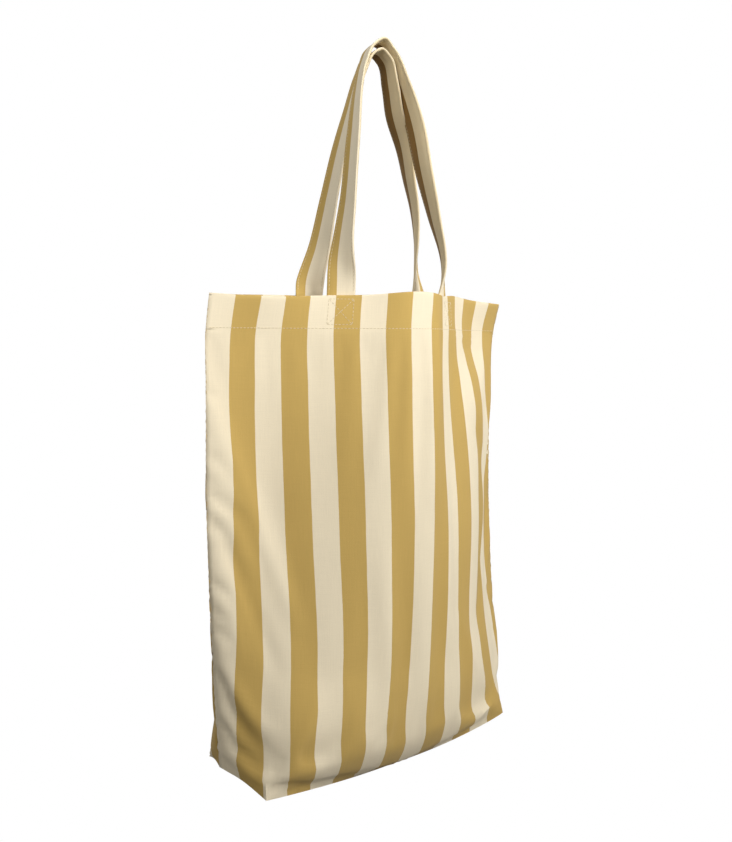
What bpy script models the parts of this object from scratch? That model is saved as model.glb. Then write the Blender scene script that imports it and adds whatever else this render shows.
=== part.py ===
"""A canvas tote bag with vertical stripes, standing stuffed on its base with both handles held up.

Metres, +Z up. The base is centred on the origin and the front panel faces -Y. Each panel is one piece of
cloth: wall, half of both side gussets, half of the base, and a folded hem along the top.
"""
import math

import bmesh
import bpy
import numpy as np

# Driving sizes
PANEL_WIDTH = 0.38  # flat cloth, from side seam to side seam
GUSSET_DEPTH = 0.10
RIM_HEIGHT = 0.4155
CANVAS = 0.001
GAP = 0.0003  # between pieces that touch
CURVE_GAP = 0.0008  # where one of them curves away from the other

HEM_DEPTH = 0.031
HEM_LAYERS = 3
SEAM_ALLOWANCE = 0.010
SEAM_THICKNESS = 0.0022

STRAP_WIDTH = 0.026
STRAP_THICKNESS = 0.0024
STRAP_SEWN_LENGTH = 0.027

THREAD_WIDTH = 0.0012
THREAD_HEIGHT = 0.0005
STITCH_BOX = (0.022, 0.022)  # width along the strap's hem, height

# Where the straps leave the rim, along X, and the shape of the two loops held up together
FRONT_ROOTS = (-0.048, 0.070)
BACK_ROOTS = (-0.0585, 0.075)
LOOP_APEX = (0.0105, -0.012)
LOOP_RISE = 0.2515
LOOP_STEP = 0.0110  # the back loop lies this far inside the front loop, centre to centre
LOOP_SHAPE = (1.48, 1.20)  # powers of the sine of its height and the cosine of its reach
TWISTED_BY = 0.45  # share of the rise over which a strap turns edge-on
FRONT_HINGE_OUT = 0.008  # each loop folds over a line this far outside the wall, and this far above the rim
BACK_HINGE_OUT = 0.004
HINGE_UP = 0.002

# How far out the stuffed body stands: (share of the rim height, extra half length, extra half depth)
BODY_SWELL = ((0.0, 0.0, 0.0), (0.13, 0.019, 0.014), (0.33, 0.033, 0.016), (0.68, 0.034, 0.020))
BODY_POWER = 0.72  # 0.5 gives an ellipse in plan, 1 a parabola

# The rim in plan, from the left side seam to the right one: shares of its half length, and Y
RIM_HALF_LENGTH = 0.1755
RIM_SHIFT = 0.004
FRONT_RIM = ((-1.0, 0.0), (-0.64, -0.016), (-0.30, -0.031), (0.10, -0.060), (0.40, -0.042), (0.72, -0.020), (1.0, 0.0))
BACK_RIM = ((-1.0, 0.0), (-0.68, 0.019), (-0.33, 0.017), (0.06, 0.002), (0.42, 0.017), (0.74, 0.019), (1.0, 0.0))

GUSSET_COLUMNS = 6
FRONT_COLUMNS = 36
BODY_ROWS = 18

BASE_HALF = ((PANEL_WIDTH - GUSSET_DEPTH) / 2, GUSSET_DEPTH / 2)
HEM_THICKNESS = HEM_LAYERS * CANVAS
HEM_LINE = RIM_HEIGHT - HEM_DEPTH


def material(name, colour, roughness):
    made = bpy.data.materials.new(name)
    made.use_nodes = True
    shader = made.node_tree.nodes["Principled BSDF"]
    shader.inputs["Base Color"].default_value = (*colour, 1)
    shader.inputs["Roughness"].default_value = roughness
    shader.inputs["Metallic"].default_value = 0
    return made


def through(keys, at):
    """A smooth curve through keys, rows of (place, values...), read at each place in at."""
    keys = np.asarray(keys, float)
    places, values = keys[:, 0], keys[:, 1:]
    slopes = np.gradient(values, places, axis=0)
    at = np.atleast_1d(at)
    before = np.clip(np.searchsorted(places, at, side="right") - 1, 0, len(places) - 2)
    span = (places[before + 1] - places[before])[:, None]
    t = ((at - places[before]) / span[:, 0])[:, None]
    start = values[before] * (1 + 2 * t) * (1 - t) ** 2 + slopes[before] * span * t * (1 - t) ** 2
    end = values[before + 1] * t**2 * (3 - 2 * t) + slopes[before + 1] * span * t**2 * (t - 1)
    return start + end


def spread(line, shares):
    """Points on a polyline at these shares of its length."""
    steps = np.linalg.norm(np.diff(line, axis=0), axis=1)
    length = np.concatenate([[0], np.cumsum(steps)])
    return np.stack([np.interp(shares * length[-1], length, axis) for axis in line.T], axis=1)


def column_shares():
    """Shares of the panel's width for its columns, with one exactly on each boxed corner."""
    corner = GUSSET_DEPTH / 2 / PANEL_WIDTH
    left = np.linspace(0, corner, GUSSET_COLUMNS + 1)
    middle = np.linspace(corner, 1 - corner, FRONT_COLUMNS + 1)
    return np.concatenate([left, middle[1:-1], 1 - left[::-1]])


def base_outline(side, inset):
    """Half of the base's edge in plan, seam to seam; side is -1 for the front and 1 for the back."""
    length, depth = BASE_HALF[0] - inset, BASE_HALF[1] - inset
    seam = side * GAP / 2
    corners = [(-length, seam), (-length, side * depth), (length, side * depth), (length, seam)]
    shares = column_shares()
    cut = GUSSET_DEPTH / 2 / PANEL_WIDTH
    return np.stack([np.interp(shares, [0, cut, 1 - cut, 1], axis) for axis in zip(*corners)], axis=1)


def body_outline(side, length, depth):
    """A swollen section in plan: full at the middle, with a turned-in tip at each side seam."""
    angle = np.linspace(0, math.pi, 241)
    x = -np.cos(angle)
    y = side * (1 - x**2) ** BODY_POWER
    line = np.stack([x * length, y * depth + side * GAP / 2], axis=1)
    return spread(line, column_shares())


def rim_outline(side, inset):
    keys = FRONT_RIM if side < 0 else BACK_RIM
    x = np.linspace(-1, 1, 241)
    line = np.stack([x * RIM_HALF_LENGTH, through(keys, x)[:, 0] + side * GAP / 2], axis=1)
    along = np.gradient(line, axis=0)
    along /= np.linalg.norm(along, axis=1)[:, None]
    inward = np.stack([-along[:, 1], along[:, 0]], axis=1) * -side
    line = line + inward * inset
    tip = line[:, 1] * side > GAP / 2
    line = line[tip]
    ends = [(line[0, 0], side * GAP / 2), (line[-1, 0], side * GAP / 2)]
    line = np.vstack([ends[0], line, ends[1]])
    return spread(line, column_shares()) + (RIM_SHIFT, 0)


def wall(side, heights, inset):
    """Rows of points of one panel's wall, that much inside its outer face."""
    rows = [(0.0, base_outline(side, inset))]
    for share, longer, deeper in BODY_SWELL[1:]:
        section = body_outline(side, BASE_HALF[0] + longer - inset, BASE_HALF[1] + deeper - inset)
        rows.append((share, section))
    rows.append((1.0, rim_outline(side, inset)))
    keys = [np.concatenate([[share], section.ravel()]) for share, section in rows]
    plans = through(keys, np.clip(heights / RIM_HEIGHT, 0, 1)).reshape(len(heights), -1, 2)
    level = np.repeat(heights[:, None], plans.shape[1], axis=1)
    return np.dstack([plans, level])


def add_sheet(mesh, rows):
    """Quads between neighbouring rows of points."""
    made = [[mesh.verts.new(point) for point in row] for row in rows]
    for low, high in zip(made, made[1:]):
        for i in range(len(low) - 1):
            mesh.faces.new((low[i], low[i + 1], high[i + 1], high[i]))


def finish(name, mesh, surface):
    """Welds the sheets into one closed skin facing out, and makes the object."""
    bmesh.ops.remove_doubles(mesh, verts=mesh.verts, dist=1e-6)
    bmesh.ops.dissolve_degenerate(mesh, edges=mesh.edges, dist=1e-7)
    bmesh.ops.recalc_face_normals(mesh, faces=mesh.faces)
    if mesh.calc_volume(signed=True) < 0:
        bmesh.ops.reverse_faces(mesh, faces=mesh.faces)
    data = bpy.data.meshes.new(name)
    mesh.to_mesh(data)
    mesh.free()
    data.materials.append(surface)
    data.shade_smooth()
    data.set_sharp_from_angle(angle=math.radians(40))
    made = bpy.data.objects.new(name, data)
    bpy.context.scene.collection.objects.link(made)
    return made


def base_rows(edge, side, inset, level):
    """The half base as a grid that shares the wall's bottom edge; the seam side is straight."""
    left = edge[: GUSSET_COLUMNS + 1]
    right = edge[-GUSSET_COLUMNS - 1 :][::-1]
    outer = edge[GUSSET_COLUMNS : GUSSET_COLUMNS + FRONT_COLUMNS + 1]
    rows = []
    for start, end in zip(left, right):
        share = (outer[:, :1] - outer[0, 0]) / (outer[-1, 0] - outer[0, 0])
        row = start * (1 - share) + end * share
        rows.append(np.column_stack([row, np.full(len(row), level)]))
    return rows


def panel(name, side, canvas):
    body = np.linspace(0, 1, BODY_ROWS + 1) ** 1.2 * (HEM_LINE - 0.001)
    hem = np.linspace(HEM_LINE, RIM_HEIGHT, 5)
    heights = np.concatenate([body, hem])
    outer = wall(side, heights, 0.0)
    thin = wall(side, heights[: BODY_ROWS + 1], CANVAS)
    thick = wall(side, heights[BODY_ROWS + 1 :], HEM_THICKNESS)
    inner = np.concatenate([thin, thick])
    inner[0, :, :2] = base_outline(side, CANVAS)
    inner[0, :, 2] = CANVAS
    mesh = bmesh.new()
    add_sheet(mesh, outer)
    add_sheet(mesh, inner)
    add_sheet(mesh, [outer[-1], inner[-1]])
    add_sheet(mesh, [outer[:, 0], inner[:, 0]])
    add_sheet(mesh, [outer[:, -1], inner[:, -1]])
    under = base_rows(outer[0, :, :2], side, 0.0, 0.0)
    over = base_rows(inner[0, :, :2], side, CANVAS, CANVAS)
    add_sheet(mesh, under)
    add_sheet(mesh, over)
    add_sheet(mesh, [under[0], over[0]])
    return finish(name, mesh, canvas)


def on_rim(side, x, inset, height=RIM_HEIGHT):
    """A point of the wall at this X and height, that much inside it, and the wall's direction there."""
    row = wall(side, np.array([height]), inset)[0]
    y = np.interp(x, row[:, 0], row[:, 1])
    step = 0.004
    slope = (np.interp(x + step, row[:, 0], row[:, 1]) - np.interp(x - step, row[:, 0], row[:, 1])) / (2 * step)
    along = np.array([1.0, slope, 0.0])
    return np.array([x, y, height]), along / np.linalg.norm(along)


def add_strap(mesh, points, widths, width, thickness):
    """A flat strap along points, its width lying along widths, with both ends cut level."""
    points = np.asarray(points)
    along = np.gradient(points, axis=0)
    along[[0, -1], :2] = 0
    along /= np.linalg.norm(along, axis=1)[:, None]
    widths = np.asarray(widths) - along * np.sum(along * widths, axis=1)[:, None]
    widths /= np.linalg.norm(widths, axis=1)[:, None]
    faces = np.cross(along, widths)
    corners = ((1, 1), (-1, 1), (-1, -1), (1, -1), (1, 1))
    rings = [points + widths * a * width / 2 + faces * b * thickness / 2 for a, b in corners]
    add_sheet(mesh, np.stack(rings))
    for end in (0, -1):
        add_sheet(mesh, [[rings[0][end], rings[1][end]], [rings[3][end], rings[2][end]]])


def skin_between(near, far):
    """A closed skin round two facing sheets of points."""
    mesh = bmesh.new()
    for sheet in (near, far, (near[0], far[0]), (near[-1], far[-1])):
        add_sheet(mesh, sheet)
    for edge in (0, -1):
        add_sheet(mesh, (near[:, edge], far[:, edge]))
    return mesh


def strap_end(name, side, x, cloth):
    """The end of a strap, sewn flat to the inside of the hem and following its curve."""
    faces = []
    for inset in (HEM_THICKNESS + GAP, HEM_THICKNESS + GAP + STRAP_THICKNESS):
        rows = []
        for height in np.linspace(RIM_HEIGHT - STRAP_SEWN_LENGTH, RIM_HEIGHT, 5):
            row = wall(side, np.array([height]), inset)[0]
            length = np.concatenate([[0], np.cumsum(np.linalg.norm(np.diff(row, axis=0), axis=1))])
            places = np.interp(x, row[:, 0], length) + np.linspace(-0.5, 0.5, 5) * STRAP_WIDTH
            rows.append(np.stack([np.interp(places, length, axis) for axis in row.T], axis=1))
        faces.append(np.array(rows))
    return finish(name, skin_between(*faces), cloth)


def corner_seam(name, way, cloth):
    """The allowances of a boxed corner, standing against the gusset along the end of the base."""
    heights = np.linspace(CANVAS + GAP, SEAM_ALLOWANCE, 4)
    faces = []
    for inset in (CANVAS + CURVE_GAP, CANVAS + CURVE_GAP + SEAM_THICKNESS):
        front, back = (wall(side, heights, inset)[:, ::-way][:, :GUSSET_COLUMNS] for side in (-1, 1))
        faces.append(np.concatenate([front[:, ::-1], back], axis=1))
    return finish(name, skin_between(*faces), cloth)


def smooth(share):
    share = np.clip(share, 0, 1)
    return share**2 * (3 - 2 * share)


def loop_line(side, roots, step):
    """Centre line and width directions of a loop, from its left root over the apex to its right root."""
    inset = HEM_THICKNESS + GAP + STRAP_THICKNESS / 2
    left, left_along = on_rim(side, roots[0], inset)
    right, right_along = on_rim(side, roots[1], inset)
    angle = np.linspace(0, math.pi, 401)
    first = angle < math.pi / 2
    height = np.sin(angle) ** LOOP_SHAPE[0]
    reach = np.cos(angle)
    reach = np.sign(reach) * np.abs(reach) ** LOOP_SHAPE[1]
    front_half = (FRONT_ROOTS[1] - FRONT_ROOTS[0]) / 2
    centre = LOOP_APEX[0]
    flare = np.where(first, left[0] - centre + front_half - step, right[0] - centre - front_half + step)
    x = centre - reach * (front_half - step) + flare * (1 - smooth(height / 0.5))
    y = np.where(first, left[1], right[1]) * (1 - height**1.5) + LOOP_APEX[1] * height**1.5
    z = RIM_HEIGHT + GAP + height * (LOOP_RISE - step)
    line = spread(np.stack([x, y, z], axis=1), np.linspace(0, 1, 73))
    up = (line[:, 2] - RIM_HEIGHT) / LOOP_RISE
    turn = smooth(up / TWISTED_BY)[:, None]
    rising = np.arange(len(line))[:, None] < len(line) / 2
    root = np.where(rising, left_along, -right_along)
    return line, root * (1 - turn) + np.array([0.0, -1.0, 0.0]) * turn


def handle(name, side, roots, step, hinge_out, cloth):
    """A loop with its origin on the line it folds over, midway between its roots."""
    line, widths = loop_line(side, roots, step)
    left, right = (on_rim(side, x, 0.0)[0] for x in roots)
    hinge = (left + right) / 2 + (0.0, side * hinge_out, HINGE_UP)
    mesh = bmesh.new()
    add_strap(mesh, line - hinge, widths, STRAP_WIDTH, STRAP_THICKNESS)
    made = finish(name, mesh, cloth)
    made.location = hinge
    return made


def stitch_box(name, side, x, thread):
    """A sewn box with a cross in it, on the outside of the hem over a strap end."""
    half_width, half_height, line = STITCH_BOX[0] / 2, STITCH_BOX[1] / 2, THREAD_WIDTH
    centre = RIM_HEIGHT - STRAP_SEWN_LENGTH + half_height + THREAD_WIDTH
    corners = np.array([(-half_width, -half_height), (half_width, -half_height), (half_width, half_height), (-half_width, half_height)])
    inside = corners * (1 - line / half_width, 1 - line / half_height)
    diagonal = line * 0.7
    holes = []
    for k in range(4):
        a, b = inside[k], inside[(k + 1) % 4]
        side_way = (b - a) / np.linalg.norm(b - a)
        middle = (a + b) / 2
        holes.append((a + side_way * diagonal, b - side_way * diagonal, middle * (diagonal * 1.4 / np.linalg.norm(middle))))
    mesh = bmesh.new()
    depths = (GAP, GAP + THREAD_HEIGHT)
    loops = [[*corners, corners[0]]]
    plates = [[hole[2] for hole in holes]]
    for k in range(4):
        near, far, tip = holes[k]
        last = holes[k - 1]
        plates.append([corners[k], corners[(k + 1) % 4], far, near])
        plates.append([corners[k], near, tip, last[2], last[1]])
        loops.append([near, far, tip, near])
    for depth in depths:
        for plate in plates:
            mesh.faces.new([mesh.verts.new((*point, depth)) for point in plate])
    for loop in loops:
        add_sheet(mesh, [[(*point, depth) for point in loop] for depth in depths])
    bmesh.ops.remove_doubles(mesh, verts=mesh.verts, dist=1e-6)
    bmesh.ops.triangulate(mesh, faces=mesh.faces)
    bmesh.ops.subdivide_edges(mesh, edges=mesh.edges, cuts=2, use_grid_fill=True)
    for vertex in mesh.verts:
        place, along = on_rim(side, x + vertex.co.x, 0.0, centre + vertex.co.y)
        out = np.array([along[1], -along[0], 0.0]) * -side
        vertex.co = place + out * vertex.co.z
    return finish(name, mesh, thread)


def hem_stitching(thread):
    """One line of stitching round the bag, just above the lower edge of the hem."""
    height = HEM_LINE + 0.002
    rings = []
    for depth, level in ((0, 0), (1, 0), (1, 1), (0, 1), (0, 0)):
        outward = GAP + depth * THREAD_HEIGHT
        front = wall(-1, np.array([height + level * THREAD_WIDTH]), 0.0)[0]
        back = wall(1, np.array([height + level * THREAD_WIDTH]), 0.0)[0]
        ring = np.vstack([front, back[::-1]])
        along = np.roll(ring, -1, axis=0) - np.roll(ring, 1, axis=0)
        out = np.stack([along[:, 1], -along[:, 0], np.zeros(len(ring))], axis=1)
        out /= np.linalg.norm(out, axis=1)[:, None]
        ring = ring + out * outward
        rings.append(np.vstack([ring, ring[:1]]))
    mesh = bmesh.new()
    add_sheet(mesh, rings)
    return finish("hem_stitching", mesh, thread)


def block(name, low, high, cloth):
    mesh = bmesh.new()
    bmesh.ops.create_cube(mesh, size=1)
    low, high = np.array(low), np.array(high)
    for vertex in mesh.verts:
        vertex.co = (low + high) / 2 + np.array(vertex.co) * (high - low)
    return finish(name, mesh, cloth)


def side_seam(name, way, cloth):
    """The two joined allowances of a side seam, standing inwards from it."""
    bottom = SEAM_ALLOWANCE + 2 * GAP + CANVAS
    heights = np.linspace(bottom, HEM_LINE - 0.003, 16)
    near, far = [], []
    for height in heights:
        row = wall(-1, np.array([height]), CANVAS)[0, ::-way][: FRONT_COLUMNS // 2]
        x = np.interp(SEAM_THICKNESS / 2 + CURVE_GAP, -row[:, 1], row[:, 0])
        near.append((x, height))
        far.append((x - way * SEAM_ALLOWANCE, height))
    rings = []
    for column, y in ((near, -1), (near, 1), (far, 1), (far, -1), (near, -1)):
        rings.append([(x, y * SEAM_THICKNESS / 2, z) for x, z in column])
    mesh = bmesh.new()
    add_sheet(mesh, rings)
    for end in (0, -1):
        add_sheet(mesh, [[rings[0][end], rings[1][end]], [rings[3][end], rings[2][end]]])
    return finish(name, mesh, cloth)


def main():
    for old in list(bpy.data.objects):
        bpy.data.objects.remove(old, do_unlink=True)

    gold_canvas = material("gold_canvas", (0.52, 0.38, 0.14), 0.95)
    cream_canvas = material("cream_canvas", (0.80, 0.71, 0.55), 0.95)
    strap_canvas = material("strap_canvas", (0.74, 0.64, 0.46), 0.95)
    thread = material("sewing_thread", (0.82, 0.74, 0.58), 0.8)

    panel("front_panel", -1, gold_canvas)
    panel("back_panel", 1, cream_canvas)

    seam_half = SEAM_THICKNESS / 2
    floor = CANVAS + GAP
    side_seam("left_side_seam", -1, cream_canvas)
    side_seam("right_side_seam", 1, cream_canvas)
    corner_seam("left_corner_seam", -1, cream_canvas)
    corner_seam("right_corner_seam", 1, cream_canvas)
    reach = BASE_HALF[0] - CANVAS - 2 * CURVE_GAP - SEAM_THICKNESS
    block("bottom_seam", (-reach, -seam_half, floor), (reach, seam_half, floor + SEAM_ALLOWANCE), cream_canvas)

    hem_stitching(thread)
    for place, side, roots in (("front", -1, FRONT_ROOTS), ("back", 1, BACK_ROOTS)):
        for hand, x in zip(("left", "right"), roots):
            strap_end(f"{place}_{hand}_strap_end", side, x, strap_canvas)
            stitch_box(f"{place}_{hand}_stitch_box", side, x, thread)
    handle("front_handle", -1, FRONT_ROOTS, 0.0, FRONT_HINGE_OUT, strap_canvas)
    handle("back_handle", 1, BACK_ROOTS, LOOP_STEP, BACK_HINGE_OUT, strap_canvas)


main()
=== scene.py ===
import math

import bmesh
import bpy
import numpy as np
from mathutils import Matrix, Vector


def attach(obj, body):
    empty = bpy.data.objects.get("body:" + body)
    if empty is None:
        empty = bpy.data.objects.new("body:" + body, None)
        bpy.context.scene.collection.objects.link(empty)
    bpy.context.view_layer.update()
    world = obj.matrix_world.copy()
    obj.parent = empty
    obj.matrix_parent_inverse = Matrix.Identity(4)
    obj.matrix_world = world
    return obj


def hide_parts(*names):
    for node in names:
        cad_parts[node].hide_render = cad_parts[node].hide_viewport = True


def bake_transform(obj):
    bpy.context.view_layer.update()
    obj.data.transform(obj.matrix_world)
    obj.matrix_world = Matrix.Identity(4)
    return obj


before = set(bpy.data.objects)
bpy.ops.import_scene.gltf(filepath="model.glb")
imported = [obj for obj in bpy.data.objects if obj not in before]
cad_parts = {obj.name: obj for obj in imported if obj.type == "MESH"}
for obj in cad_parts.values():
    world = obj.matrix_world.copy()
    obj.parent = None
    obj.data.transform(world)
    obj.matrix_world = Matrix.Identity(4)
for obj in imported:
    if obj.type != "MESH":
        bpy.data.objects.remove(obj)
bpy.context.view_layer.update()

# Camera. A little below the rim, turned to look past the left gusset along the front panel, and
# held level so that the bag's uprights stay upright.
lens = bpy.data.cameras.new("camera")
lens.sensor_width = 36
lens.lens = 37.65
lens.shift_y = -0.0927
camera = bpy.data.objects.new("camera", lens)
camera.location = (-0.516, -0.6655, 0.373)
camera.rotation_euler = (math.pi / 2, 0, -0.66)
bpy.context.scene.collection.objects.link(camera)
bpy.context.scene.camera = camera

# Studio. A white sweep that stays white behind the bag, a soft light high in front, a fill low on
# the right, a weak one on the handles from the left, and one behind for the back panel.
bpy.context.scene.view_settings.view_transform = "Standard"
FLOOR_LEVEL = -0.0125
FLOOR_HALF = 4
world = bpy.data.worlds.new("studio")
bpy.context.scene.world = world
world.use_nodes = True
sky = world.node_tree
sky.nodes.clear()
backdrop, ambient = sky.nodes.new("ShaderNodeBackground"), sky.nodes.new("ShaderNodeBackground")
outside = sky.nodes.new("ShaderNodeOutputWorld")
backdrop.inputs["Color"].default_value = (1, 1, 1, 1)
ambient.inputs["Color"].default_value = (1.0, 0.965, 0.91, 1)
ambient.inputs["Strength"].default_value = 0.40
seen, either = sky.nodes.new("ShaderNodeLightPath"), sky.nodes.new("ShaderNodeMixShader")
sky.links.new(seen.outputs["Is Camera Ray"], either.inputs["Fac"])
sky.links.new(ambient.outputs[0], either.inputs[1])
sky.links.new(backdrop.outputs[0], either.inputs[2])
sky.links.new(either.outputs[0], outside.inputs["Surface"])

white = bpy.data.materials.new("white_sweep")
white.use_nodes = True
paper = white.node_tree
paper.nodes["Principled BSDF"].inputs["Base Color"].default_value = (0.3, 0.3, 0.3, 1)
glow, seen = paper.nodes.new("ShaderNodeEmission"), paper.nodes.new("ShaderNodeLightPath")
either = paper.nodes.new("ShaderNodeMixShader")
paper.links.new(seen.outputs["Is Camera Ray"], either.inputs["Fac"])
paper.links.new(paper.nodes["Principled BSDF"].outputs[0], either.inputs[1])
paper.links.new(glow.outputs[0], either.inputs[2])
paper.links.new(either.outputs[0], paper.nodes["Material Output"].inputs["Surface"])
ground = bmesh.new()
bmesh.ops.create_grid(ground, x_segments=1, y_segments=1, size=FLOOR_HALF)
floor_mesh = bpy.data.meshes.new("floor")
ground.to_mesh(floor_mesh)
ground.free()
floor_mesh.materials.append(white)
floor = bpy.data.objects.new("floor", floor_mesh)
floor.location.z = FLOOR_LEVEL
bpy.context.scene.collection.objects.link(floor)

for name, place, towards, size, spread_angle, power in (
    ("high_softbox", (0.20, -1.20, 1.05), (0.03, -0.05, 0.52), 0.6, 66, 2.6),
    ("right_softbox", (1.3, -0.95, 0.45), (0.05, 0.0, 0.15), 0.9, 180, 3.6),
    ("left_softbox", (-1.25, -0.75, 1.0), (0.02, 0.0, 0.66), 0.5, 36, 0.38),
    ("rear_softbox", (0.3, 1.7, 1.2), (0.0, 0.0, 0.25), 1.4, 180, 9.0),
):
    lamp = bpy.data.lights.new(name, "AREA")
    lamp.size = size
    lamp.energy = power
    lamp.spread = math.radians(spread_angle)
    lamp.color = (1.0, 0.985, 0.96)
    softbox = bpy.data.objects.new(name, lamp)
    softbox.location = place
    aim = np.array(towards) - place
    softbox.rotation_euler = (
        math.atan2(math.hypot(aim[0], aim[1]), -aim[2]),
        0,
        math.atan2(-aim[0], aim[1]),
    )
    bpy.context.scene.collection.objects.link(softbox)

# Front and back panels. Heavy cotton canvas with woven stripes, each panel one cut with its half
# of both side gussets and of the base; the top is turned in twice as a hem.
STRIPE = 0.0237
PANEL_WIDTH = 0.38
GUSSET_HALF = 0.05
RIM = 0.4155
CANVAS = 0.0011
HEM_FOLD = 0.0013
HEM_DEPTH = 0.031
GUSSET_COLUMNS, FRONT_COLUMNS = 12, 72
LEFT_SEAM = [(0, -155, 3), (48, -159, 3), (100, -162, 3), (210, -168, 1), (335, -170, -1), (385, -170, -1)]
LEFT_SEAM += [(415.5, -167, -1)]
RIGHT_SEAM = [(0, 152, 0), (48, 163, -9), (100, 167, -4), (210, 174, 7), (335, 174, 4), (385, 178, 4)]
RIGHT_SEAM += [(415.5, 183, 0)]
CORNERS = [(-140.5, 49), (-1, 43), (138, 48)]
CORNER_LIFT, FRONT_SAG = 0.012, 0.0125
FRONT_RISE = [(0, -0.0015), (0.065, -0.0028), (0.105, -0.0012), (0.15, 0), (0.2, 0.0032), (0.245, 0.001)]
FRONT_RISE += [(0.285, 0.003), (0.33, 0.0), (PANEL_WIDTH, -0.002)]
BACK_DIP = 0.0018
FRONT_SECTIONS = {
    48: [(-140, -40), (-124, -58), (-80, -70), (-8, -72), (63, -67), (109, -56), (149, -31)],
    100: [(-137, -25), (-99, -50), (-53, -64), (-6, -68), (41, -66), (87, -57), (129, -37)],
    210: [(-122, -7), (-81, -31), (-39, -54), (6, -63), (53, -58), (100, -50), (139, -26)],
    335: [(-122, -2), (-80, -20), (-40, -46), (3, -66), (26, -68), (69, -48), (114, -35), (155, -11)],
    385: [(-122, -3), (-78, -16), (-36, -39), (5, -62), (29, -63), (71, -41), (112, -17), (156, -2)],
    415.5: [(-122, -8), (-75, -15), (-34, -33), (6, -60), (31, -62), (71, -38), (113, -17), (160, -7)],
}
BACK_SECTIONS = {
    48: [(-131, 38), (-100, 54), (0, 58), (110, 54), (146, 34)],
    100: [(-134, 34), (-90, 53), (0, 58), (90, 53), (144, 32)],
    210: [(-130, 31), (-60, 51), (10, 55), (80, 51), (138, 34)],
    335: [(-126, 24), (-60, 36), (10, 33), (75, 37), (134, 28)],
    385: [(-126, 20), (-60, 25), (10, 16), (75, 26), (134, 22)],
    415.5: [(-116, 19), (-58, 15), (12, 2), (77, 15), (134, 19)],
}


def through(keys, at):
    """A smooth curve through keys, rows of (place, values...), read at each place in at."""
    keys = np.asarray(keys, float)
    places, values = keys[:, 0], keys[:, 1:]
    slopes = np.gradient(values, places, axis=0)
    at = np.atleast_1d(at)
    low = np.clip(np.searchsorted(places, at, side="right") - 1, 0, len(places) - 2)
    span = (places[low + 1] - places[low])[:, None]
    t = (at - places[low])[:, None] / span
    start = values[low] * (1 + 2 * t) * (1 - t) ** 2 + slopes[low] * span * t * (1 - t) ** 2
    end = values[low + 1] * t**2 * (3 - 2 * t) + slopes[low + 1] * span * t**2 * (t - 1)
    return start + end


def smooth_line(keys, count=400):
    """A smooth line through points, parameterised by the distance between them."""
    keys = np.asarray(keys, float)
    reach = np.concatenate([[0], np.cumsum(np.linalg.norm(np.diff(keys, axis=0), axis=1))])
    return through(np.column_stack([reach, keys]), np.linspace(0, reach[-1], count))


def spread(line, shares):
    """Points on a line at these shares of its length."""
    reach = np.concatenate([[0], np.cumsum(np.linalg.norm(np.diff(line, axis=0), axis=1))])
    return np.stack([np.interp(shares * reach[-1], reach, axis) for axis in line.T], axis=1)


gusset_share = GUSSET_HALF / PANEL_WIDTH
columns = np.concatenate(
    [
        np.linspace(0, gusset_share, GUSSET_COLUMNS + 1),
        np.linspace(gusset_share, 1 - gusset_share, FRONT_COLUMNS + 1)[1:-1],
        np.linspace(1 - gusset_share, 1, GUSSET_COLUMNS + 1),
    ]
)
across = columns * PANEL_WIDTH
hem_line = 1 - HEM_DEPTH / RIM
rows = np.concatenate(
    [
        np.linspace(0, hem_line - 0.009, 90),
        hem_line + np.array([-0.006, -0.003, 0, 0.003, 0.006]),
        np.linspace(hem_line + 0.012, 1, 9),
    ]
)


def wall(side):
    """The outer face of a panel's wall, rows of points from its bottom edge to its rim."""
    sections = FRONT_SECTIONS if side < 0 else BACK_SECTIONS
    foot = [LEFT_SEAM[0][1:]] + [(x, y * side) for x, y in CORNERS] + [RIGHT_SEAM[0][1:]]
    cut = [0, gusset_share, 0.5, 1 - gusset_share, 1]
    plans = [(0.0, np.stack([np.interp(columns, cut, axis) for axis in zip(*foot)], axis=1))]
    left, right = ({key[0]: key[1:] for key in seam} for seam in (LEFT_SEAM, RIGHT_SEAM))
    for level, keys in sections.items():
        plans.append((level, spread(smooth_line([left[level], *keys, right[level]]), columns)))
    keys = [np.concatenate([[level / 415.5], plan.ravel()]) for level, plan in plans]
    plan = through(keys, rows).reshape(len(rows), -1, 2) / 1000
    middle = np.clip((across - GUSSET_HALF) / (PANEL_WIDTH - 2 * GUSSET_HALF), 0, 1)
    end = np.clip(np.abs(across - PANEL_WIDTH / 2) - PANEL_WIDTH / 2 + GUSSET_HALF, 0, None) / GUSSET_HALF
    foot_level = CORNER_LIFT * np.sin(end * math.pi / 2)
    foot_level = foot_level - FRONT_SAG * np.sin(math.pi * middle**1.15) ** 0.8
    if side < 0:
        top = RIM + through(FRONT_RISE, across)[:, 0]
    else:
        top = RIM - BACK_DIP * np.cos(across / PANEL_WIDTH * 2 * math.pi) ** 2
    reach = rows[:, None] * np.ones(len(columns))
    height = foot_level + reach**0.98 * (top - foot_level)
    return np.dstack([plan, height])


def outward(grid, side):
    """The outward direction at each point of a wall."""
    along, up = np.gradient(grid, axis=1), np.gradient(grid, axis=0)
    normal = np.cross(along, up) * -side
    return normal / np.linalg.norm(normal, axis=2)[:, :, None]


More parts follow.
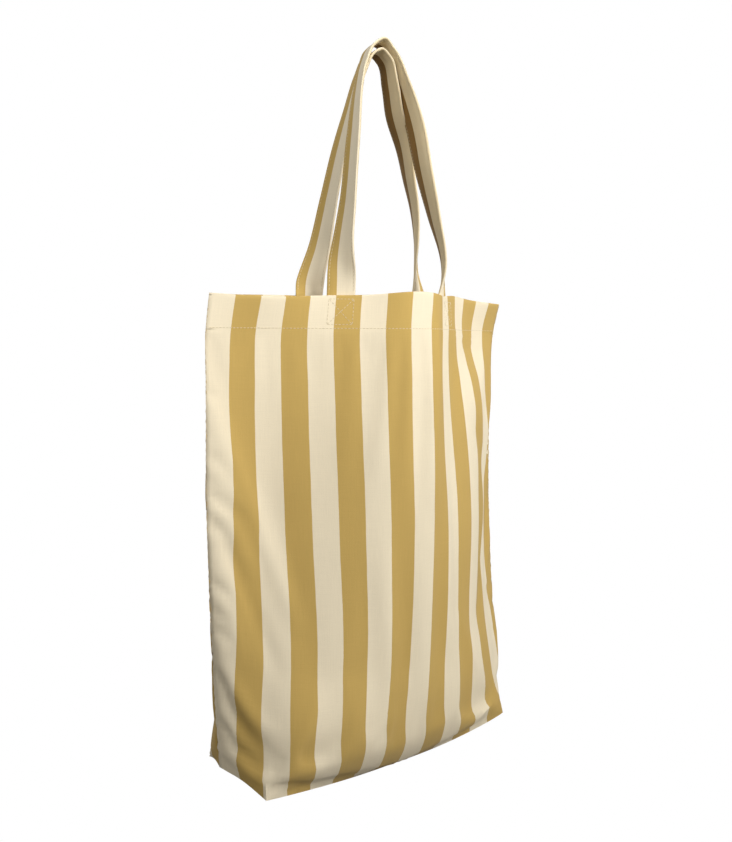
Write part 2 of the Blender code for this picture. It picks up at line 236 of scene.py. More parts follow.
# Folds that the load and the standing handles leave: where each runs, across the cloth and up from
# the floor, then how wide and how high it is, all in metres. The seams pucker besides.
PUCKER = 0.0008
FRONT_FOLDS = [
    (0.026, 0.275, 0.078, 0.130, 0.0085, 0.0028),
    (0.012, 0.215, 0.060, 0.095, 0.0070, -0.0022),
    (0.060, 0.250, 0.100, 0.060, 0.0140, -0.0016),
    (0.222, 0.415, 0.226, 0.330, 0.0050, 0.0022),
    (0.300, 0.300, 0.345, 0.225, 0.0110, -0.0022),
    (0.318, 0.020, 0.262, 0.115, 0.0090, 0.0022),
    (0.060, 0.012, 0.100, 0.080, 0.0080, 0.0018),
    (0.235, 0.035, 0.150, 0.065, 0.0110, -0.0016),
    (0.345, 0.190, 0.305, 0.090, 0.0090, -0.0022),
    (0.022, 0.030, 0.048, 0.012, 0.0070, 0.0020),
]
BACK_FOLDS = [
    (0.060, 0.300, 0.120, 0.150, 0.0110, 0.0024),
    (0.320, 0.280, 0.255, 0.140, 0.0120, 0.0022),
    (0.100, 0.030, 0.170, 0.080, 0.0110, -0.0020),
    (0.300, 0.020, 0.250, 0.100, 0.0100, 0.0020),
    (0.190, 0.380, 0.185, 0.270, 0.0130, -0.0022),
]


def folded(grid, side):
    """The wall with its folds, and with the small puckers that a sewn side seam draws up."""
    height = grid[:, :, 2]
    place = np.dstack([across * np.ones_like(height), height])
    proud = np.zeros_like(height)
    for x0, z0, x1, z1, width, depth in FRONT_FOLDS if side < 0 else BACK_FOLDS:
        start, run = np.array([x0, z0]), np.array([x1 - x0, z1 - z0])
        share = ((place - start) @ run) / (run @ run)
        near = start + np.clip(share, 0, 1)[:, :, None] * run
        gap = np.linalg.norm(place - near, axis=2)
        ends = np.clip(np.minimum(share, 1 - share) / 0.25 + 0.35, 0.0, 1)
        proud += depth * np.exp(-((gap / width) ** 2)) * ends
    for seam, turn in ((0, 0.0), (PANEL_WIDTH, 1.9)):
        gap = np.abs(across - seam) * np.ones_like(height)
        wave = np.sin(height * 190 + turn + 2.2 * np.sin(height * 31 + turn))
        wave += 0.5 * np.sin(height * 340 + 2 * turn + side)
        low = np.clip((0.33 - height) / 0.1, 0.1, 1)
        calm = (1.0 if seam == 0 else 0.5) if side < 0 else 0.25
        proud += PUCKER * calm * (wave + 1.1) * low * np.exp(-((gap - 0.009) / 0.011) ** 2)
    still = np.clip((RIM - height - 0.004) / 0.05, 0, 1) * np.clip((height + 0.004) / 0.02, 0, 1)
    seam = np.clip(np.minimum(across, PANEL_WIDTH - across) / 0.006, 0, 1)
    return grid + outward(grid, side) * (proud * still * seam)[:, :, None]


CORNER_REACH = 0.014


def half_base(grid):
    """The panel's half of the base, from the front edge to the bottom seam."""
    foot = grid[0]
    edge = foot[GUSSET_COLUMNS : GUSSET_COLUMNS + FRONT_COLUMNS + 1]
    left, right = foot[GUSSET_COLUMNS::-1], foot[-GUSSET_COLUMNS - 1 :]
    share = ((edge[:, 0] - edge[0, 0]) / (edge[-1, 0] - edge[0, 0]))[:, None]
    lines = []
    for k, (start, end) in enumerate(zip(left, right)):
        line = start * (1 - share) + end * share
        line[:, 1] = edge[:, 1] * (1 - k / GUSSET_COLUMNS)
        reach = np.minimum(line[:, 0] - start[0], end[0] - line[:, 0])
        rise = np.exp(-((reach / CORNER_REACH) ** 2))
        near = np.where(share[:, 0] < 0.5, start[2], end[2])
        line[:, 2] = edge[:, 2] * (1 - rise) + near * rise
        line[0], line[-1] = start, end
        lines.append(line)
    lines[0] = edge.copy()
    return np.array(lines)


def quads(count_rows, count_columns, first=0):
    """The faces of a grid of points, as corner numbers."""
    number = np.arange(count_rows * count_columns).reshape(count_rows, count_columns) + first
    around = [number[:-1, :-1], number[:-1, 1:], number[1:, 1:], number[1:, :-1]]
    return np.stack([corner.ravel() for corner in around], axis=1)


walls = {side: folded(wall(side), side) for side in (-1, 1)}
bases = {side: half_base(walls[side]) for side in (-1, 1)}


LOOSE_GRIP, SEAM_GRIP = 0.02, 0.6
SETTLING_FRAMES = 20
MOST_MOVED = 0.006


def settled(grids):
    """The sewn canvas after it has relaxed over its contents: cloth a little longer than the shape
    it covers buckles into its own soft wrinkles, held at the hem, the seams and the base's edge."""
    loose = np.concatenate([grid.reshape(-1, 3) for grid in grids])
    keys, first, sewn = np.unique(
        np.round(loose / 2e-5).astype(np.int64), axis=0, return_index=True, return_inverse=True
    )
    sewn = sewn.reshape(-1)
    faces, hold, count = [], [], 0
    for grid in grids:
        faces.append(quads(*grid.shape[:2], count))
        count += grid.shape[0] * grid.shape[1]
        tight = np.ones(grid.shape[:2])
        if grid.shape[0] == len(rows):
            hem_grip = np.clip((rows - hem_line + 0.02) / 0.02, 0, 1)
            tight *= np.maximum(LOOSE_GRIP, hem_grip)[:, None]
            tight[:, [0, -1]] = SEAM_GRIP
            tight[0] = 1
        hold.append(tight.ravel())
    faces, hold = np.concatenate(faces), np.concatenate(hold)
    corners = sewn[faces]
    mesh = bpy.data.meshes.new("sewn_canvas")
    mesh.from_pydata(loose[first].tolist(), [], corners.tolist())
    mesh.validate()
    canvas = bpy.data.objects.new("sewn_canvas", mesh)
    bpy.context.scene.collection.objects.link(canvas)
    grip = canvas.vertex_groups.new(name="held")
    strongest = np.zeros(len(first))
    np.maximum.at(strongest, sewn, hold)
    for value in np.unique(np.round(strongest, 2)):
        chosen = np.flatnonzero(np.round(strongest, 2) == value)
        grip.add(chosen.tolist(), float(value), "REPLACE")
    cloth = canvas.modifiers.new("canvas", "CLOTH")
    cloth.settings.quality = 5
    cloth.settings.mass = 0.25
    cloth.settings.tension_stiffness = 30
    cloth.settings.compression_stiffness = 30
    cloth.settings.shear_stiffness = 12
    cloth.settings.bending_stiffness = 6
    cloth.settings.shrink_min = -0.010
    cloth.settings.vertex_group_mass = "held"
    cloth.settings.pin_stiffness = 1
    cloth.settings.effector_weights.gravity = 0.3
    cloth.settings.use_pressure = True
    cloth.settings.uniform_pressure_force = 0.6
    cloth.collision_settings.use_collision = False
    scene = bpy.context.scene
    for step in range(1, SETTLING_FRAMES + 1):
        scene.frame_set(step)
    eased = canvas.evaluated_get(bpy.context.evaluated_depsgraph_get()).to_mesh()
    after = np.empty(len(eased.vertices) * 3)
    eased.vertices.foreach_get("co", after)
    scene.frame_set(1)
    bpy.data.objects.remove(canvas)
    after = after.reshape(-1, 3)[sewn]
    moved = after - loose
    reach = np.linalg.norm(moved, axis=1)[:, None]
    moved *= MOST_MOVED * np.tanh(reach / MOST_MOVED) / np.maximum(reach, 1e-9)
    ends = np.cumsum([grid.shape[0] * grid.shape[1] for grid in grids])[:-1]
    parts = np.split(loose + moved, ends)
    return [part.reshape(grid.shape) for part, grid in zip(parts, grids)]


walls[-1], bases[-1], walls[1], bases[1] = settled([walls[-1], bases[-1], walls[1], bases[1]])


class Value:
    """A socket that carries a number, so that a cloth's pattern reads as plain sums."""

    def __init__(self, tree, socket):
        self.tree, self.socket = tree, socket

    def maths(self, operation, first, second=None):
        node = self.tree.nodes.new("ShaderNodeMath")
        node.operation = operation
        for number, value in enumerate((first, second)):
            if isinstance(value, Value):
                self.tree.links.new(value.socket, node.inputs[number])
            elif value is not None:
                node.inputs[number].default_value = value
        return Value(self.tree, node.outputs[0])

    def __add__(self, other):
        return self.maths("ADD", self, other)

    def __sub__(self, other):
        return self.maths("SUBTRACT", self, other)

    def __mul__(self, other):
        return self.maths("MULTIPLY", self, other)

    def __truediv__(self, other):
        return self.maths("DIVIDE", self, other)

    def above(self, other):
        return self.maths("GREATER_THAN", self, other)

    def sine(self):
        return self.maths("SINE", self)

    def share(self):
        return self.maths("FRACT", self)

    __radd__, __rmul__ = __add__, __mul__


class Finish:
    """A material under construction: node() adds any node, with its settings first."""

    def __init__(self, name, roughness, sheen):
        self.material = bpy.data.materials.new(name)
        self.material.use_nodes = True
        self.tree = self.material.node_tree
        self.surface = self.tree.nodes["Principled BSDF"].inputs
        self.surface["Roughness"].default_value = roughness
        self.surface["Sheen Weight"].default_value = sheen
        self.surface["Sheen Roughness"].default_value = 0.5
        self.surface["Specular IOR Level"].default_value = 0.25

    def node(self, kind, settings, sockets, output=0):
        node = self.tree.nodes.new("ShaderNode" + kind)
        for name, value in settings.items():
            setattr(node, name, value)
        for name, value in sockets.items():
            if isinstance(value, Value):
                self.tree.links.new(value.socket, node.inputs[name])
            else:
                node.inputs[name].default_value = value
        return Value(self.tree, node.outputs[output])

    def feed(self, name, value):
        self.tree.links.new(value.socket, self.surface[name])


def mixed(finish, share, first, second):
    """One colour over another, as much as share says."""
    settings = {"data_type": "RGBA", "clamp_factor": True}
    return finish.node("Mix", settings, {0: share, 6: first, 7: second}, 2)


def linear(red, green, blue):
    """A colour from the numbers of a colour chart, for the dyes, the thread and the painted shade on the
    straps' inner faces.
    """
    chart = np.array([red, green, blue]) / 255
    values = np.where(chart <= 0.04045, chart / 12.92, ((chart + 0.055) / 1.055) ** 2.4)
    return (*values.tolist(), 1)


INSIDE_PLACE = 1.0


def canvas_finish(name, gold_mask, cream, gold, inside=None):
    """Plain-woven cotton canvas: slubby yarns, a grid of threads, a dyed stripe where asked, and where asked
    a strap's inner face in darker cream and gold, which is painted shade.
    """
    finish = Finish(name, 0.92, 0.12)
    place = finish.node("UVMap", {"uv_map": "cloth"}, {})
    parts = finish.node("SeparateXYZ", {}, {0: place})
    x = parts
    y = Value(finish.tree, parts.socket.node.outputs[1])

    def yarns(across_yarn, along_yarn, detail):
        vector = finish.node(
            "VectorMath", {"operation": "MULTIPLY"}, {0: place, 1: (across_yarn, along_yarn, 1)}
        )
        return finish.node("TexNoise", {}, {"Vector": vector, "Scale": 1.0, "Detail": detail}, "Fac")

    warp, weft = yarns(1500, 45, 3.0), yarns(45, 1500, 3.0)
    patches = yarns(22, 16, 2.0)
    fuzz = yarns(900, 900, 2.0)
    tone = 1.0 + (warp - 0.5) * 0.11 + (weft - 0.5) * 0.08 + (patches - 0.5) * 0.08 + (fuzz - 0.5) * 0.06
    dyed = gold_mask(finish, x, y, warp)
    if inside:
        # A strap's inner face is laid out that far to the left of its outer face. There the given darker
        # cream and gold are painted shade, standing in for the shade inside the loop.
        turned = (x * -1).above(INSIDE_PLACE / 2)
        cream, gold = mixed(finish, turned, cream, inside[0]), mixed(finish, turned, gold, inside[1])
    cloth = mixed(finish, dyed, cream, gold)
    shade = finish.node("CombineColor", {}, {0: tone, 1: tone, 2: tone})
    cloth = finish.node(
        "Mix", {"data_type": "RGBA", "blend_type": "MULTIPLY"}, {0: 1.0, 6: cloth, 7: shade}, 2
    )
    finish.feed("Base Color", cloth)
    over = (x * (2 * math.pi / 0.00095)).sine() * (y * (2 * math.pi / 0.00105)).sine()
    height = over * 0.35 + warp * 0.9 + weft * 0.8 + fuzz * 0.5
    bump = finish.node("Bump", {}, {"Strength": 0.22, "Distance": 0.0005, "Height": height})
    finish.feed("Normal", bump)
    return finish.material


CREAM, GOLD = linear(239, 227, 200), linear(198, 167, 96)


def panel_stripes(first_gold):
    def mask(finish, x, y, warp):
        """Even stripes, with an edge that wanders by less than a yarn."""
        turn = (x + (warp - 0.5) * 0.0007) / (2 * STRIPE) + (0.0 if first_gold else 0.5)
        return (turn.share() - 0.5) * -200 + 0.5

    return mask


stripe_finishes = {
    side: canvas_finish(f"striped_canvas_{name}", panel_stripes(side > 0), CREAM, GOLD)
    for side, name in ((-1, "front"), (1, "back"))
}


def hem_rows(grid, side):
    """The hem: over the rim in a tight round fold and down the inside to its turned edge."""
    inward = -outward(grid, side)
    inward[:, :, 2] = 0
    inward /= np.linalg.norm(inward, axis=2)[:, :, None]
    tip = np.clip(np.minimum(across, PANEL_WIDTH - across) / 0.014, 0.015, 1)[:, None] ** 1.4
    inward = inward * tip
    top, into = grid[-1], inward[-1]
    lines = []
    for angle in np.linspace(0, math.pi, 7)[1:]:
        line = top + into * (HEM_FOLD * (1 - math.cos(angle)))
        line[:, 2] += HEM_FOLD * math.sin(angle)
        lines.append(line)
    depth = np.concatenate([np.linspace(0.003, HEM_DEPTH - 0.001, 8), [HEM_DEPTH]])
    for drop in depth:
        share = np.interp(RIM - drop, grid[:, 0, 2], np.arange(len(grid)))
        low = int(min(share, len(grid) - 2))
        line = grid[low] + (grid[low + 1] - grid[low]) * (share - low)
        near = inward[low] + (inward[low + 1] - inward[low]) * (share - low)
        gap = HEM_FOLD * 2 + 0.0006 * math.sin(math.pi * drop / HEM_DEPTH)
        if drop == HEM_DEPTH:
            gap = CANVAS * 1.1
        lines.append(line + near * gap)
    return np.array(lines)


def lengths(grid):
    """How far along the cloth each row lies, measured down its middle."""
    steps = np.linalg.norm(np.diff(grid[:, grid.shape[1] // 2], axis=0), axis=1)
    return np.concatenate([[0], np.cumsum(steps)])


def thicken(made, thickness, group=""):
    """Give a sheet its thickness, laid inside its outer face."""
    body = made.modifiers.new("cloth_thickness", "SOLIDIFY")
    body.thickness = thickness
    body.offset = -1
    body.vertex_group = group
    bpy.context.view_layer.objects.active = made
    bpy.ops.object.modifier_apply(modifier=body.name)


def cloth_object(name, sheets, finish, thickness, smooth_angle=50):
    """One piece of cloth from grids of (points, cloth places), welded and given its thickness."""
    points = np.concatenate([grid.reshape(-1, 3) for grid, _ in sheets])
    places = np.concatenate([uv.reshape(-1, 2) for _, uv in sheets])
    faces, count = [], 0
    for grid, _ in sheets:
        faces.append(quads(*grid.shape[:2], count))
        count += grid.shape[0] * grid.shape[1]
    faces = np.concatenate(faces)
    mesh = bpy.data.meshes.new(name)
    mesh.from_pydata(points.tolist(), [], faces.tolist())
    layer = mesh.uv_layers.new(name="cloth")
    layer.data.foreach_set("uv", places[faces].ravel().astype(np.float32))
    mesh.materials.append(finish)
    shape = bmesh.new()
    shape.from_mesh(mesh)
    bmesh.ops.remove_doubles(shape, verts=shape.verts, dist=2e-5)
    bmesh.ops.recalc_face_normals(shape, faces=shape.faces)
    shape.to_mesh(mesh)
    shape.free()
    mesh.shade_smooth()
    mesh.set_sharp_from_angle(angle=math.radians(smooth_angle))
    made = bpy.data.objects.new(name, mesh)
    bpy.context.scene.collection.objects.link(made)
    if thickness:
        thicken(made, thickness)
    return made


SEAM_THINNEST, SEAM_TAPER = 0.12, 0.009


def panel(name, node, side):
    """A panel of one cut: its wall, its hem and its half of the base."""
    grid, base = walls[side], bases[side]
    hem = hem_rows(grid, side)
    up = GUSSET_HALF + lengths(grid)
    over = up[-1] + lengths(np.concatenate([grid[-1:], hem]))[1:]
    wall_places = np.dstack(np.meshgrid(across, up))
    hem_places = np.dstack(np.meshgrid(across, np.concatenate([up[-1:], over])))
    under = across[GUSSET_COLUMNS : GUSSET_COLUMNS + FRONT_COLUMNS + 1]
    base_places = np.dstack(np.meshgrid(under, np.linspace(GUSSET_HALF, 0, GUSSET_COLUMNS + 1)))
    sheets = [
        (grid, wall_places),
        (np.concatenate([grid[-1:], hem]), hem_places),
        (base, base_places),
    ]
    made = cloth_object(name, sheets, stripe_finishes[side], 0)
    shape = bmesh.new()
    shape.from_mesh(made.data)
    centre = Vector(grid[len(grid) // 2, grid.shape[1] // 2])
    middle = min(shape.faces, key=lambda face: (face.calc_center_median() - centre).length)
    if middle.normal.y * side < 0:
        bmesh.ops.reverse_faces(shape, faces=shape.faces)
    shape.to_mesh(made.data)
    shape.free()
    thin = made.vertex_groups.new(name="thin_at_seam")
    places = made.data.uv_layers["cloth"].data
    for corner in made.data.loops:
        place, up_cloth = places[corner.index].uv
        near = min(place, PANEL_WIDTH - place) / SEAM_TAPER
        share = min(1.0, max(SEAM_THINNEST, near)) if GUSSET_HALF <= up_cloth else 1.0
        thin.add([corner.vertex_index], share, "REPLACE")
    thicken(made, CANVAS, thin.name)
    made.vertex_groups.clear()
    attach(made, "bag")
    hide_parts(node)
    flat = (PANEL_WIDTH, over[-1])
    area = flat[0] * flat[1] - 2 * GUSSET_HALF**2


panel("front_panel_cloth", "front_panel", -1)
panel("back_panel_cloth", "back_panel", 1)
directions = {side: outward(walls[side], side) for side in walls}


def on_wall(side, place, height, proud=0.0):
    """A point of a panel, so far along its width from the left seam and so high, and that much
    outside it, with the directions out of and along the cloth there."""
    grid, away = walls[side], directions[side]
    column = np.interp(place, across, np.arange(len(across)))
    left = int(min(column, len(across) - 2))
    share = column - left
    line = grid[:, left] * (1 - share) + grid[:, left + 1] * share
    out = away[:, left] * (1 - share) + away[:, left + 1] * share
    step = grid[:, left + 1] - grid[:, left]
    row = np.interp(height, line[:, 2], np.arange(len(line)))
    low = int(min(row, len(line) - 2))
    point, normal, along = (a[low] * (1 - row + low) + a[low + 1] * (row - low) for a in (line, out, step))
    normal = normal / np.linalg.norm(normal)
    return point + normal * proud, normal, along / np.linalg.norm(along)


# Sewing thread. Pale cotton, laid in single lockstitches that sit in small dimples: a line round
# the hem, three centimetres below the rim.
thread = Finish("sewing_thread", 0.7, 0.2)
spot = thread.node("TexCoord", {}, {}, "Object")
ply = thread.node("TexNoise", {}, {"Vector": spot, "Scale": 900.0, "Detail": 2.0}, "Fac")
thread.feed("Base Color", mixed(thread, ply, linear(206, 190, 156), linear(228, 216, 188)))
twist = thread.node("Bump", {}, {"Strength": 0.4, "Distance": 0.0002, "Height": ply})
thread.feed("Normal", twist)


def stitches(name, runs, length=0.0024, gap=0.0009, radius=0.0003):
    """Lockstitches along runs, each a list of (point, direction out of the cloth)."""
    points, faces = [], []
    for run in runs:
        line = np.array([point for point, _ in run])
        away = np.array([normal for _, normal in run])
        reach = np.concatenate([[0], np.cumsum(np.linalg.norm(np.diff(line, axis=0), axis=1))])
        count = max(1, int(round(reach[-1] / (length + gap))))
        pitch = reach[-1] / count
        for k in range(count):
            shares = (k + 0.5 + np.linspace(-0.5, 0.5, 5) * length / (length + gap)) * pitch
            centre = np.stack([np.interp(shares, reach, axis) for axis in line.T], axis=1)
            normal = np.stack([np.interp(shares, reach, axis) for axis in away.T], axis=1)
            normal /= np.linalg.norm(normal, axis=1)[:, None]
            along = np.gradient(centre, axis=0)
            along /= np.linalg.norm(along, axis=1)[:, None]
            sideways = np.cross(along, normal)
            start = len(points)
            for j, full in enumerate((0.35, 0.9, 1.0, 0.9, 0.35)):
                lift = radius * (0.55 * full - 0.35)
                for angle in np.arange(6) * math.pi / 3:
                    ring = sideways[j] * math.cos(angle) + normal[j] * math.sin(angle)
                    points.append(centre[j] + normal[j] * lift + ring * radius * full)
            for j in range(4):
                for a in range(6):
                    b = (a + 1) % 6
                    here = start + j * 6
                    faces.append((here + a, here + b, here + 6 + b, here + 6 + a))
            faces.append(tuple(start + a for a in range(5, -1, -1)))
            faces.append(tuple(start + 24 + a for a in range(6)))
    mesh = bpy.data.meshes.new(name)
    mesh.from_pydata([tuple(point) for point in points], [], faces)
    mesh.materials.append(thread.material)
    shape = bmesh.new()
    shape.from_mesh(mesh)
    bmesh.ops.recalc_face_normals(shape, faces=shape.faces)
    shape.to_mesh(mesh)
    shape.free()
    mesh.shade_smooth()
    made = bpy.data.objects.new(name, mesh)
    bpy.context.scene.collection.objects.link(made)
    return made


hem_runs = []
for side in (-1, 1):
    for proud, way in ((0.0, 1), (-(HEM_FOLD * 2 + CANVAS), -1)):
        places = np.linspace(0.002, PANEL_WIDTH - 0.002, 150)
        run = [on_wall(side, place, RIM - HEM_DEPTH + 0.0015, proud) for place in places]
        hem_runs.append([(point, normal * way) for point, normal, _ in run])
hem_stitches = stitches("hem_stitches", hem_runs)
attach(hem_stitches, "bag")
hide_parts("hem_stitching")

# Inner seams. The two sewn allowances of each seam, laid over to the back and finished with a
# zigzag of overlock thread along the raw edge.
SEAM_WIDTH = 0.010
plain = canvas_finish(
    "seam_canvas",
    lambda finish, x, y, warp: (warp - 0.5) * 0.4,
    linear(228, 214, 184),
    linear(205, 186, 142),
)


def seam(name, node, sewn_edge, raw_edge, away):
    """A seam's allowances between its sewn edge and its raw edge, standing off along away."""
    sewn_edge, raw_edge, away = (np.asarray(a, float) for a in (sewn_edge, raw_edge, away))
    count = len(sewn_edge)
    ripple = 0.0004 * np.sin(np.arange(count) * 0.9)[:, None]
    shares = np.array([0, 0.35, 0.7, 1.0])
    lines = [sewn_edge + (raw_edge - sewn_edge) * share + away * ripple * share for share in shares]
    grid = np.stack(lines)
    places = np.dstack(np.meshgrid(np.arange(count) * 0.004, shares * SEAM_WIDTH))
    made = cloth_object(name, [(grid, places)], plain, 0.0018)
    edge = []
    across_way = (raw_edge - sewn_edge) / np.linalg.norm(raw_edge - sewn_edge, axis=1)[:, None]
    zigzag = ((0.0030, 0.0013), (-0.0004, 0.0), (0.0030, -0.0013), (-0.0004, 0.0))
    for k in range(count):
        for step, (inset, lift) in enumerate(zigzag):
            k1 = min(k + step / 4, count - 1)
            low = int(min(k1, count - 2))
            at = [a[low] + (a[low + 1] - a[low]) * (k1 - low) for a in (raw_edge, across_way, away)]
            edge.append(at[0] - at[1] * inset + at[2] * lift)
    wire = bpy.data.curves.new(name + "_overlock", "CURVE")
    wire.dimensions = "3D"
    wire.bevel_depth = 0.00028
    wire.bevel_resolution = 1
    spline = wire.splines.new("POLY")
    spline.points.add(len(edge) - 1)
    spline.points.foreach_set("co", np.column_stack([edge, np.ones(len(edge))]).ravel())
    wire.materials.append(thread.material)
    overlock = bpy.data.objects.new(name + "_overlock", wire)
    bpy.context.scene.collection.objects.link(overlock)
    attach(overlock, "bag")
    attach(made, "bag")
    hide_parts(node)


SEAM_CLEAR = 0.012
for name, node, way in (
    ("left_side_allowance", "left_side_seam", 1),
    ("right_side_allowance", "right_side_seam", -1),
):
    heights = np.linspace(0.035, RIM - HEM_DEPTH - 0.003, 90)
    inner = SEAM_CLEAR if way > 0 else PANEL_WIDTH - SEAM_CLEAR
    far = inner + way * SEAM_WIDTH
    sewn_edge = [on_wall(1, inner, height, -(CANVAS + 0.0016))[0] for height in heights]
    raw_edge = [on_wall(1, far, height, -(CANVAS + 0.0022))[0] for height in heights]
    away = [on_wall(1, far, height)[1] for height in heights]
    seam(name, node, sewn_edge, raw_edge, away)

middle = bases[1][-1][3:-3]
lift = np.array([0, 0, CANVAS + 0.0018])
bottom_sewn = middle + lift + (0, 0.0012, 0)
seam(
    "bottom_allowance",
    "bottom_seam",
    bottom_sewn,
    bottom_sewn + (0, SEAM_WIDTH, 0.0006),
    np.tile([0, 0, 1.0], (len(middle), 1)),
)
for name, node, column, way in (
    ("left_corner_allowance", "left_corner_seam", slice(1, GUSSET_COLUMNS), 1),
    ("right_corner_allowance", "right_corner_seam", slice(-GUSSET_COLUMNS, -1), -1),
):
    places = across[column][::-way]
    foot = [(-1, place) for place in places] + [(1, place) for place in places[::-1]]
    lower, upper, away = [], [], []
    for side, place in foot:
        column_at = np.interp(place, across, np.arange(len(across)))
        ground_level = walls[side][0, int(round(column_at)), 2]
        lower.append(on_wall(side, place, ground_level + 0.0035, -(CANVAS + 0.0014))[0])
        upper.append(on_wall(side, place, ground_level + 0.0035 + SEAM_WIDTH, -(CANVAS + 0.0020))[0])
        away.append(on_wall(side, place, ground_level + 0.01)[1])
    seam(name, node, lower, upper, away)

# Handles. Straps of the same striped canvas, folded to four layers and sewn along both edges; each
# is sewn inside the hem at its two ends and stands up as a loop, its width turning square to the
# bag above the rim.
STRAP_WIDTH = 0.026
STRAP_THICKNESS = 0.0026
STRAP_SEWN = 0.027
OUTSIDE_GOLD, INSIDE_GOLD = 0.0090, 0.0124
LOOP_RISE = 0.2515
FRONT_STRAPS = (0.1236, 0.2585)
FRONT_LOOP = [
    (-45.5, 0.16), (-37.5, 0.35), (-29.5, 0.60), (-21.5, 0.77), (-14.5, 0.865), (-5, 0.935), (6, 0.963),
    (18, 0.93), (30, 0.82), (39, 0.67), (46, 0.48), (55.5, 0.32), (66, 0.14),
]
FRONT_DEPTH = [(0, -26), (0.3, -24), (0.65, -21), (0.85, -16), (1.0, -14)]
FRONT_DEPTH += [(1.15, -18), (1.35, -27), (1.65, -34), (2.0, -40)]
FRONT_TURN = [(0, -30), (0.06, -36), (0.16, -70), (0.345, -92), (0.6, -100), (0.87, -110), (1.0, -106)]
FRONT_TURN += [(1.15, -96), (1.35, -89), (1.545, -97), (1.66, -106), (1.78, -118), (1.9, -129), (2.0, -147)]
BACK_LOOP = [
    (-55.5, 0.05), (-45.5, 0.18), (-35.5, 0.37), (-27, 0.55), (-20, 0.70), (-12, 0.84), (-4, 0.908),
    (5, 0.928), (15, 0.905), (24, 0.82), (32.5, 0.72), (49, 0.60), (58, 0.485), (66.5, 0.37),
    (72, 0.25), (73.5, 0.13),
]
BACK_DEPTH = [(0, 13), (0.2, 11.5), (0.4, 9), (0.6, 4), (0.8, -4), (1.0, -10)]
BACK_DEPTH += [(1.2, -4), (1.4, 4), (1.6, 7), (1.8, 11), (2.0, 13)]
BACK_TURN = [(0, -12), (0.03, -22), (0.09, -50), (0.18, -68), (0.37, -84), (0.6, -92), (0.85, -102)]
BACK_TURN += [(1.0, -100), (1.15, -92), (1.295, -90), (1.425, -101), (1.545, -110), (1.66, -118)]
BACK_TURN += [(1.78, -128), (1.9, -140), (1.96, -155), (2.0, -168)]


def strap_stripe(finish, x, y, warp):
    """One gold edge, a third of the strap's width outside and nearly half of it inside."""
    turned = (x * -1).above(INSIDE_PLACE / 2)
    shift = INSIDE_PLACE - (INSIDE_GOLD - OUTSIDE_GOLD)
    return (x + turned * shift + (warp - 0.5) * 0.0006 - OUTSIDE_GOLD) * -4000 + 0.5


# The strap's inner face takes a darker cream and a deep brown gold. These are painted shade for the shaded
# inner side of the loop, not colours of the cloth; the outer face keeps the plain dyes.
strap_material_with_painted_shade = canvas_finish(
    "strap_canvas", strap_stripe, CREAM, GOLD, (linear(222, 206, 170), linear(138, 106, 54))
)


def strap_route(side, places, loop, depths, turns):
    """A strap's centre line and width directions, from one sewn end over the loop to the other."""
    inset = -(HEM_FOLD * 2 + CANVAS + STRAP_THICKNESS / 2 + 0.0003)
    heights = RIM - STRAP_SEWN + np.linspace(0, STRAP_SEWN - 0.001, 6)
    feet = [[on_wall(side, place, height, inset)[0] for height in heights] for place in places]
    top = max(range(len(loop)), key=lambda j: loop[j][1])
    apex = loop[top][1]
    keys = []
    for k, (x, share) in enumerate(loop):
        way = share / apex if k <= top else 2 - share / apex
        keys.append((x / 1000, through(depths, [way])[0, 0] / 1000, RIM + LOOP_RISE * share))
    line = smooth_line([*feet[0], *keys, *feet[1][::-1]], 900)
    line = spread(line, np.linspace(0, 1, 260))
    up = np.clip((line[:, 2] - RIM) / (LOOP_RISE * apex), 0, 1)
    way = np.where(np.arange(len(line)) < line[:, 2].argmax(), up, 2 - up)
    angle = np.radians(through(turns, way)[:, 0])
    return line, np.stack([np.cos(angle), np.sin(angle), np.zeros(len(line))], axis=1)


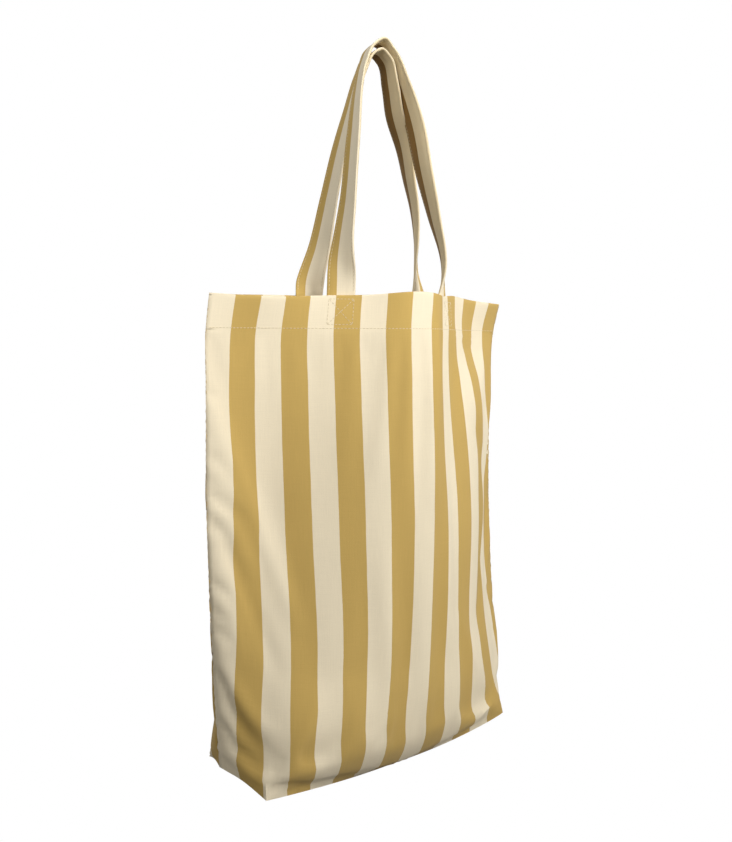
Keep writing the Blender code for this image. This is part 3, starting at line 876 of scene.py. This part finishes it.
def strap(name, nodes, side, route):
    """A strap along its route: a flat tube of folded cloth, with a row of stitches at each edge."""
    line, widths = route
    along = np.gradient(line, axis=0)
    along /= np.linalg.norm(along, axis=1)[:, None]
    widths = widths - along * np.sum(along * widths, axis=1)[:, None]
    widths /= np.linalg.norm(widths, axis=1)[:, None]
    faces = np.cross(along, widths)
    up = np.clip((line[:, 2] - RIM) / LOOP_RISE, 0, 1)
    cup = 0.0016 * np.sin(math.pi * np.clip(up * 1.15, 0, 1)) + 0.0003
    reach = np.concatenate([[0], np.cumsum(np.linalg.norm(np.diff(line, axis=0), axis=1))])
    half = STRAP_WIDTH / 2
    profile = [(-1, 0), (-0.985, 0.6), (-0.93, 0.95), (-0.84, 0.72), (-0.76, 1.0), (-0.5, 1.04), (-0.2, 1.06)]
    profile += [(0.1, 1.06), (0.4, 1.05), (0.76, 1.0), (0.84, 0.72), (0.93, 0.95), (0.985, 0.6), (1, 0)]
    rings, places = [], []
    for face in (1, -1):
        for w, full in profile[::face]:
            lift = face * full * STRAP_THICKNESS / 2 - cup * (w**2 - 0.3)
            rings.append(line + widths * (w * half) + faces * lift[:, None])
            place = (w + 1) * half - (INSIDE_PLACE if face > 0 else 0)
            places.append(np.column_stack([np.full(len(line), place), reach]))
    rings.append(rings[0])
    places.append(places[0])
    made = cloth_object(name, [(np.array(rings), np.array(places))], strap_material_with_painted_shade, 0, 60)
    shape = bmesh.new()
    shape.from_mesh(made.data)
    bmesh.ops.holes_fill(shape, edges=[e for e in shape.edges if e.is_boundary], sides=0)
    bmesh.ops.recalc_face_normals(shape, faces=shape.faces)
    shape.to_mesh(made.data)
    shape.free()
    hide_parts(*nodes)
    runs = []
    clear = line[:, 2] > RIM + 0.004
    for w in (-0.84, 0.84):
        for face in (1, -1):
            lift = face * 0.74 * STRAP_THICKNESS / 2 - cup * (w**2 - 0.3)
            surface = line + widths * (w * half) + faces * lift[:, None]
            runs.append(list(zip(surface[clear], faces[clear] * face)))
    edge = stitches(name.replace("strap", "edge_stitches"), runs, 0.0024, 0.0009, 0.00024)
    wall_cloth = "front_panel_cloth" if side < 0 else "back_panel_cloth"
    for piece in (made, edge):
        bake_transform(piece)


rim_back = walls[1][-1]
back_straps = [float(np.interp(x, rim_back[:, 0], across)) for x in (-0.0585, 0.0725)]
for which, side, places, loop, depths, turns in (
    ("front", -1, FRONT_STRAPS, FRONT_LOOP, FRONT_DEPTH, FRONT_TURN),
    ("back", 1, back_straps, BACK_LOOP, BACK_DEPTH, BACK_TURN),
):
    nodes = [f"{which}_handle", f"{which}_left_strap_end", f"{which}_right_strap_end"]
    route = strap_route(side, places, loop, depths, turns)
    strap(f"{which}_handle_strap", nodes, side, route)

# Strap-end boxes. A square of stitches with a cross in it, sewn through the hem and the strap.
BOX_HALF = 0.0115
box_centre = RIM - STRAP_SEWN / 2 - 0.001
corners = [(-1, -1), (1, -1), (1, 1), (-1, 1)]
box_lines = [(corners[k], corners[(k + 1) % 4]) for k in range(4)]
box_lines += [((-1, -1), (1, 1)), ((1, -1), (-1, 1))]
for side, places in ((-1, FRONT_STRAPS), (1, back_straps)):
    for place, name in zip(places, ("left", "right")):
        runs = []
        for (x0, z0), (x1, z1) in box_lines:
            spots = [
                (place + BOX_HALF * (x0 + (x1 - x0) * t), box_centre + BOX_HALF * (z0 + (z1 - z0) * t))
                for t in np.linspace(0, 1, 12)
            ]
            runs.append([on_wall(side, *spot)[:2] for spot in spots])
        where = "front" if side < 0 else "back"
        box = stitches(f"{where}_{name}_box_stitches", runs)
        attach(box, "bag")
        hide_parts(f"{where}_{name}_stitch_box")
